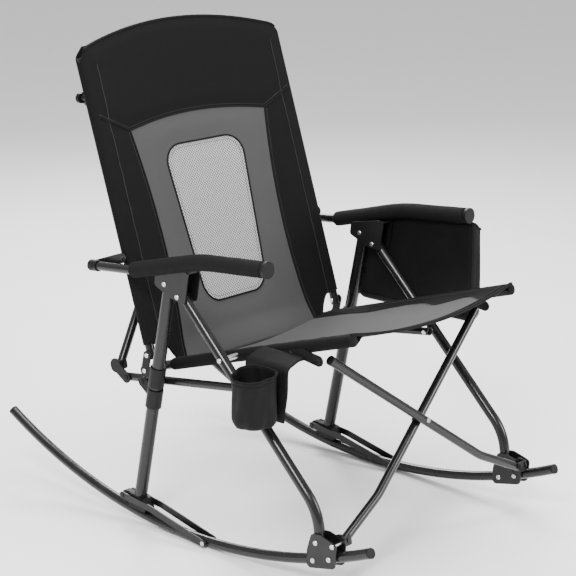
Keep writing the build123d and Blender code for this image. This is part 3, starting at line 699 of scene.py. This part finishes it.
class Back(Sling):
    def sag_at(self, s):
        return self.sag * (1 - 0.62 * smooth(-s / BACK_TUCK) - 0.25 * smooth((s - 0.52) / 0.17))

    def lower(self, x):
        return -BACK_TUCK * (1 - smooth((np.abs(x) - 0.215) / 0.055))

    def upper(self, x):
        wide = self.tube_x + self.wrap
        past = np.clip(np.abs(x) - (wide - BACK_CORNER), 0, BACK_CORNER * 0.985)
        corner = BACK_CORNER - np.sqrt(BACK_CORNER ** 2 - past ** 2)
        return BACK_CROWN - BACK_ARCH * (x / wide) ** 2 - corner

    def radius(self, s):
        return self.wrap - (self.wrap - 0.0058) * smooth((s - 0.622) / 0.035)

    def side_seam(self, s):
        above = np.clip(s - BACK_WAIST, 0, None) / FLARE_ABOVE[1]
        below = np.clip(BACK_WAIST - s, 0, None) / FLARE_BELOW[1]
        return BACK_PANEL + FLARE_ABOVE[0] * above ** 2 + FLARE_BELOW[0] * below ** 2

    def head_seam(self, x):
        inside = HEAD_SEAM - HEAD_SEAM_DROP * np.clip(np.abs(x) / HEAD_SEAM_TURN, 0, 1) ** 2
        return inside + HEAD_SEAM_CLIMB * np.clip(np.abs(x) - HEAD_SEAM_TURN, 0, 0.12)

    def window(self, x, s):
        """Distance outside the rounded, slightly flared mesh window."""
        middle = (WINDOW_FOOT + WINDOW_TOP) / 2
        wide = WINDOW_WIDTH + WINDOW_TAPER * (s - middle)
        dx = np.abs(x) * WINDOW_WIDTH / wide - (WINDOW_WIDTH - WINDOW_CORNER)
        ds = np.abs(s - middle) - ((WINDOW_TOP - WINDOW_FOOT) / 2 - WINDOW_CORNER)
        outside = np.hypot(np.clip(dx, 0, None), np.clip(ds, 0, None))
        return outside + np.minimum(np.maximum(dx, ds), 0) - WINDOW_CORNER

    def seams(self, x, s):
        return np.abs(x) - self.side_seam(s), s - self.head_seam(x), self.window(x, s)

    def thick(self, x, s):
        side, head, window = self.seams(x, s)
        away = np.minimum(np.abs(head), np.where(head > 0, 1.0, np.minimum(np.abs(side), np.abs(window))))
        puff = np.where(head > 0, HEAD_PUFF, np.where(window < 0, 0.0, PANEL_PUFF))
        rim = smooth(np.minimum(self.edge - np.abs(x), self.upper(x) - s) / 0.025)
        return SLEEVE_CLOTH + (0.0006 + puff * smooth(away / 0.04)) * rim

    def window_line(self, outward=0.0, count=220):
        """Points of the line a distance outside the window's edge."""
        middle = (WINDOW_FOOT + WINDOW_TOP) / 2
        half = (WINDOW_TOP - WINDOW_FOOT) / 2
        line = []
        for turn in np.linspace(0, 2 * math.pi, count, endpoint=False):
            way = np.array([math.cos(turn), math.sin(turn)])
            near, far = 0.0, 2 * half
            for _ in range(30):
                reach = (near + far) / 2
                x, s = way * reach
                if self.window(np.array(x), np.array(middle + s)) < outward:
                    near = reach
                else:
                    far = reach
            line.append((way[0] * near, middle + way[1] * near))
        return np.array(line)


def trim(kind, body, cover, welts, bindings, threads):
    """Makes a sling's trim, and gives the cover and each trim piece a mesh of its own."""
    pieces = [cover]
    for part, look, shapes in (("welts", "piping", welts), ("binding", "binding", bindings),
                               ("stitching", "thread", threads)):
        pieces.append(dress(joined(f"{kind}_{part}", shapes), look, body))
    for piece in pieces:
        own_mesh(piece)
    return pieces[1:]


def make_seat():
    rail_x, middle, along = tube_line("right_seat_rail", (-1, 0.3))
    facing = np.array([along[1], -along[0]])
    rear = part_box("seat")[1].y
    start = middle + along * ((rear - SEAT_REAR_INSET - middle[0]) / along[0])
    seat = Seat(start, along, facing, abs(rail_x), SEAT_SAG)
    piece, flat, area = seat.build("seat_cover")
    dress(piece, "seat", "right_seat_rail")
    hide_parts("seat")

    s = np.linspace(-SEAT_TUCK, SEAT_LENGTH - SEAT_FRONT_BAND, 160)
    x = np.linspace(-1, 1, 120) * (seat.edge - 0.002)
    welts = [seat.welt(side * seat.panel(s), s) for side in (-1, 1)]
    welts.append(seat.welt(x, seat.front_seam(x)))
    sleeves = np.full_like(s, abs(rail_x) - SLEEVE_SEAM)
    threads = seat.sewn(x, seat.front_seam(x) - SEAM_ALLOWANCE)
    for side in (-1, 1):
        threads += seat.sewn(side * (seat.panel(s) - SEAM_ALLOWANCE), s)
        threads += seat.sewn(side * sleeves, s)
    edge = np.linspace(-1, 1, 140) * (abs(rail_x) + 0.004)
    clipped = np.clip(edge, -seat.edge, seat.edge)
    front, _ = seat.front(clipped, seat.upper(clipped), -0.0010)
    front[:, 0] = edge
    rear_x = np.linspace(-1, 1, 120) * seat.edge
    behind, _ = seat.front(rear_x, seat.lower(rear_x), -0.0014)
    bindings = [tube_mesh(front, BINDING, 10), tube_mesh(behind, BINDING * 0.8, 10)]
    bindings += [seat.sleeve_end(side, SEAT_LENGTH - 0.003, 0.005) for side in (-1, 1)]
    trimmings = trim("seat", "right_seat_rail", piece, welts, bindings, threads)


def make_back():
    tube_x, middle, along = tube_line("right_back_upright", (0.3, 1))
    facing = np.array([-along[1], along[0]])
    pivot = anchor("right_upright_turn")[1:]
    start = middle + along * ((pivot - middle) @ along + BACK_START)
    back = Back(start, along, facing, abs(tube_x), BACK_SAG)
    piece, flat, area = back.build("back_cover")
    dress(piece, "back", "right_upright")
    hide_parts("back")

    s = np.linspace(-BACK_TUCK + 0.004, HEAD_SEAM - 0.024, 200)
    x = np.linspace(-1, 1, 160) * (back.edge - 0.002)
    welts = [back.welt(side * back.side_seam(s), s) for side in (-1, 1)]
    welts.append(back.welt(x, back.head_seam(x)))
    frame_line = back.window_line()
    welts.append(back.welt(frame_line[:, 0], frame_line[:, 1], PIPING * 1.3, True))
    border = back.window_line(WINDOW_BORDER)
    threads = back.sewn(border[:, 0], border[:, 1], True)
    threads += back.sewn(x, back.head_seam(x) + SEAM_ALLOWANCE)
    up = np.linspace(0.004, back.upper(np.array([back.edge]))[0] - 0.03, 200)
    for side in (-1, 1):
        threads += back.sewn(side * (back.side_seam(s) + SEAM_ALLOWANCE), s)
        threads += back.sewn(side * np.full_like(up, abs(tube_x) - SLEEVE_SEAM), up)
    edge = np.linspace(-1, 1, 200) * back.edge
    top, _ = back.front(edge, back.upper(edge), -0.0012)
    foot, _ = back.front(edge, back.lower(edge), -0.0012)
    bindings = [tube_mesh(top, BINDING, 10), tube_mesh(foot, BINDING * 0.8, 10)]
    trimmings = trim("back", "right_upright", piece, welts, bindings, threads)


# ---------------------------------------------------------------- armrest foam
def arm_path():
    """(y, z) of the armrest's axis from its rear end to its front end."""
    return resample(rounded(ARM_LINE, ARM_BENDS, 14), 0.004)


def make_foam(name, side):
    low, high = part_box(f"{name}_armrest_pad")
    line = arm_path()
    line = line[(line[:, 0] > low.y + 0.001) & (line[:, 0] < high.y - 0.001)]
    path = np.hstack([np.full((len(line), 1), (low.x + high.x) / 2), line])
    reach = np.minimum(np.arange(len(path)), np.arange(len(path))[::-1]) * 0.004
    lumps = np.sin(path[:, 1] * 61 + side) + 0.6 * np.sin(path[:, 1] * 137 + 2 * side)
    radius = FOAM_R - 0.0028 * (1 - np.sqrt(np.clip(1 - (1 - np.clip(reach / 0.006, 0, 1)) ** 2, 0, 1)))
    outer = tube_points(path, radius + 0.00018 * lumps, 40)
    inner = tube_points(path, FOAM_BORE, 40)
    count, sides = outer.shape[:2]
    points = np.concatenate([outer.reshape(-1, 3), inner.reshape(-1, 3)])
    faces = grid_faces(count, sides, closed=True) + grid_faces(count, sides, count * sides, True)
    for ring in (0, count - 1):
        a, b = ring * sides, (count + ring) * sides
        faces += [(a + j, a + (j + 1) % sides, b + (j + 1) % sides, b + j) for j in range(sides)]
    piece = dress(mesh_piece(f"{name}_arm_foam", points, faces), "foam", f"{name}_armrest")
    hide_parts(f"{name}_armrest_pad")


# ---------------------------------------------------------------- cup pocket
def cloth_from(piece, u, v):
    """Weave coordinates in metres for a piece whose points are given on (u, v)."""
    set_vector(piece, "cloth", np.stack([u, v, 0 * u], -1))


def pouch_rings(centre_x):
    """Rings of points up the outside of the drinks pouch, with soft folds and a dipped rim."""
    turns = np.linspace(0, 2 * math.pi, 96, endpoint=False)
    outward, across = np.cos(turns), np.sin(turns)
    toward_panel = np.clip(outward, 0, None)
    # the side that faces the panel is nearly flat, and as wide as the pouch
    square = 1 + 0.30 * toward_panel * (1 - toward_panel) * 2
    rings = []
    for share in np.concatenate([np.linspace(0, CUP_ROUNDING, 8), np.linspace(0.26, 1, 26)]):
        drop = 1 - np.sqrt(np.clip(1 - (1 - min(share / CUP_ROUNDING, 1)) ** 2, 0, 1))
        folds = 0.0016 * np.sin(turns * 5 + 3 * share) * (1 - share) + 0.0008 * np.sin(turns * 9 - 5 * share)
        reach = CUP_R * (1 - 0.36 * drop) - 0.0014 * math.sin(share * math.pi) + folds - 0.0010
        x = centre_x + np.minimum(reach * outward * square, CUP_R - 0.0012)
        dip = 0.010 * smooth((1 - outward) / 2) * share
        rings.append(np.stack([x, CUP_Y + reach * across * (square + 0.06 * toward_panel),
                               CUP_FOOT + share * (CUP_RIM + 0.006 - CUP_FOOT) - dip], 1))
    return np.array(rings), turns


def make_pouch(outer, turns, centre_x):
    way = outer - np.array([centre_x, CUP_Y, 0.0])
    way[..., 2] = 0
    inner = outer - way / np.linalg.norm(way, axis=2, keepdims=True) * CUP_CLOTH
    inner[:, :, 2] += 0.0026 * (1 - np.linspace(0, 1, len(outer)))[:, None]
    pocket, points = vessel("cup_pocket", outer, inner, (centre_x, CUP_Y, CUP_FOOT - 0.001),
                            (centre_x, CUP_Y, CUP_FOOT + 0.0022))
    around = np.concatenate([np.tile(turns * CUP_R, 2 * len(outer)), [0, 0]])
    cloth_from(pocket, around, points[:, 2])
    return dress(pocket, "nylon", "right_seat_rail")


def panel_grid(panel_x):
    """The panel leaves the seat rail, passes over the front leg and hangs behind the pouch."""
    path = rounded([CUP_PANEL_TOP, (panel_x + 0.004, CUP_PANEL_BEND), (panel_x, CUP_PANEL_FOOT)], [0.014], 8)
    path = resample(path, 0.005)
    across = np.linspace(*CUP_PANEL_EDGES, 24)
    grid = np.array([[(x, y, z) for y in across] for x, z in path])
    fall = np.linspace(0, 1, len(path))[:, None]
    narrow = 1 - 0.16 * smooth((fall - 0.55) / 0.45)
    grid[:, :, 1] = CUP_Y + (grid[:, :, 1] - CUP_Y) * narrow
    grid[:, :, 0] += 0.0009 * np.sin(grid[:, :, 1] * 95) * np.sin(fall * 5)
    return grid


def make_cup_holder():
    centre_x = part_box("cup_holder")[0].x + CUP_R
    outer, turns = pouch_rings(centre_x)
    pocket = make_pouch(outer, turns, centre_x)
    grid = panel_grid(centre_x + CUP_R + 0.0012)
    panel = skin("cup_panel", grid, np.full(grid.shape[:2], CUP_PANEL_CLOTH))
    twice = np.vstack([grid.reshape(-1, 3)] * 2)
    cloth_from(panel, twice[:, 1], twice[:, 2])
    dress(panel, "nylon", "right_seat_rail")

    edge = [tube_mesh(resample(outer[-1], 0.004, True), 0.0024, 8, True),
            tube_mesh(resample(outer[-4], 0.004, True), 0.0007, 6, True)]
    border = [grid[:, 0], grid[-1], grid[::-1, -1]]
    edge += [tube_mesh(resample(line, 0.005), 0.0019, 8) for line in border]
    bind = dress(joined("cup_binding", edge), "binding", "right_seat_rail")
    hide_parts("cup_holder")


# ---------------------------------------------------------------- cooler bag
def bag_ring(centre, half, corner, bulge):
    """Closed line round a rounded rectangle whose sides bow out, in (x, y)."""
    ways = [(1, 1), (-1, 1), (-1, -1), (1, -1)]

    def corner_point(way, angle):
        return (way[0] * (half[0] - corner) + corner * math.cos(angle),
                way[1] * (half[1] - corner) + corner * math.sin(angle))

    ring = []
    for k in range(4 * BAG_SIDES):
        quarter, share = divmod(k, BAG_SIDES)
        share = share / BAG_SIDES
        here, there = ways[quarter], ways[(quarter + 1) % 4]
        angle = math.pi / 2 * quarter
        if share < BAG_TURN:
            x, y = corner_point(here, angle + math.pi / 2 * share / BAG_TURN)
        else:
            run = (share - BAG_TURN) / (1 - BAG_TURN)
            angle = angle + math.pi / 2
            x0, y0 = corner_point(here, angle)
            x1, y1 = corner_point(there, angle)
            swell = bulge[quarter] * math.sin(run * math.pi)
            x = x0 + (x1 - x0) * run + math.cos(angle) * swell
            y = y0 + (y1 - y0) * run + math.sin(angle) * swell
        ring.append((centre[0] + x, centre[1] + y))
    return np.array(ring)


def bag_level(share, inset, low, high, centre, half, arm):
    """One ring of the bag, at a share of its height. Its inner wall rises to the armrest's underside."""
    tuck = 1 - math.sqrt(max(0.0, 1 - (1 - min(share / BAG_ROUNDING, 1)) ** 2))
    belly = math.sin(math.pi * min(share * 1.05, 1)) * 0.0055
    size = (half[0] - 0.012 * tuck - inset, half[1] - 0.020 * tuck - inset)
    bulge = (belly * 0.6, 0.2 * belly, belly * 0.6, belly)
    ring = bag_ring(centre, size, BAG_CORNER - inset * 0.5, bulge)
    outboard = smooth((ring[:, 0] - centre[0]) / half[0])
    ahead = smooth((centre[1] - ring[:, 1]) / half[1])
    ring[:, 1] += BAG_TAPER * outboard * ahead
    rim = high.z + (BAG_REAR_RIM - high.z) * (ring[:, 1] - low.y) / (high.y - low.y)
    under_arm = np.interp(-ring[:, 1], -arm[:, 0], arm[:, 1]) - FOAM_R + 0.0012
    rim = rim + (under_arm - rim) * smooth((centre[0] - ring[:, 0]) / half[0] + 0.1)
    crease = 0.0016 * np.sin(ring[:, 1] * 44 + 3 * share) * math.sin(math.pi * share)
    ring[:, 0] += crease * np.sign(ring[:, 0] - centre[0])
    bottom = low.z + 0.0012 + inset * (1 - share)
    return np.column_stack([ring, bottom + (rim - 0.003 - bottom) * share])


def make_cooler_bag():
    low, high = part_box("cooler_bag")
    centre = ((low.x + high.x) / 2, (low.y + high.y) / 2)
    half = ((high.x - low.x) / 2 - 0.002, (high.y - low.y) / 2 - 0.002)
    place_in = (low, high, centre, half, arm_path())
    shares = np.concatenate([np.linspace(0, BAG_ROUNDING, 7), np.linspace(0.13, 1, 34)])
    outer, inner = (np.array([bag_level(share, inset, *place_in) for share in shares])
                    for inset in (0.0, BAG_WALL))
    bag, points = vessel("cooler_bag_shell", outer, inner, (*centre, low.z + 0.0008),
                         (*centre, low.z + 0.0040))
    cloth_from(bag, points[:, 1] + points[:, 0], points[:, 2])
    dress(bag, "nylon", "left_armrest")
    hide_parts("cooler_bag")

    piping = [tube_mesh(resample(outer[-1], 0.006, True), 0.0030, 8, True)]
    for corner in range(4):
        column = corner * BAG_SIDES + int(BAG_SIDES * BAG_TURN / 2)
        piping.append(tube_mesh(resample(outer[3:, column], 0.006), 0.0019, 8))
    piping.append(tube_mesh(resample(outer[5], 0.006, True), 0.0019, 8, True))
    bind = dress(joined("cooler_bag_piping", piping), "piping", "left_armrest")


# ---------------------------------------------------------------- studio
def area_light(name, place_at, size, power):
    light = bpy.data.lights.new(name, "AREA")
    light.shape = "DISK"
    light.size = size
    light.energy = power
    lamp = bpy.data.objects.new(name, light)
    lamp.location = place_at
    lamp.rotation_euler = (LIGHTS_AIM - Vector(place_at)).to_track_quat("-Z", "Y").to_euler()
    bpy.context.scene.collection.objects.link(lamp)


def make_studio():
    camera = bpy.data.cameras.new("camera")
    camera.lens = CAMERA_LENS
    holder = bpy.data.objects.new("camera", camera)
    holder.location = CAMERA_PLACE
    holder.rotation_euler = (math.radians(90 + CAMERA_PITCH), 0, math.radians(CAMERA_YAW))
    bpy.context.scene.collection.objects.link(holder)
    bpy.context.scene.camera = holder

    corners = [(x * FLOOR_REACH, y * FLOOR_REACH, 0) for x, y in ((-1, -1), (1, -1), (1, 1), (-1, 1))]
    floor = mesh_piece("floor", corners, [(0, 1, 2, 3)])
    made, tree, shader = material("floor_paint")
    soft = noise(tree, place(tree), 3.0, 3.0)
    tree.links.new(mix(tree, soft, grey(0.91), grey(0.94)), shader.inputs["Base Color"])
    shader.inputs["Roughness"].default_value = 0.75
    floor.data.materials.append(made)

    world = bpy.data.worlds.new("studio")
    world.use_nodes = True
    sky = world.node_tree.nodes["Background"]
    sky.inputs["Color"].default_value = grey(0.95)
    sky.inputs["Strength"].default_value = 0.85
    bpy.context.scene.world = world
    for light in LIGHTS:
        area_light(*light)


make_studio()
dress_cad()
make_seat()
make_back()
for side_name, side_sign in (("right", -1), ("left", 1)):
    make_foam(side_name, side_sign)
make_cup_holder()
make_cooler_bag()
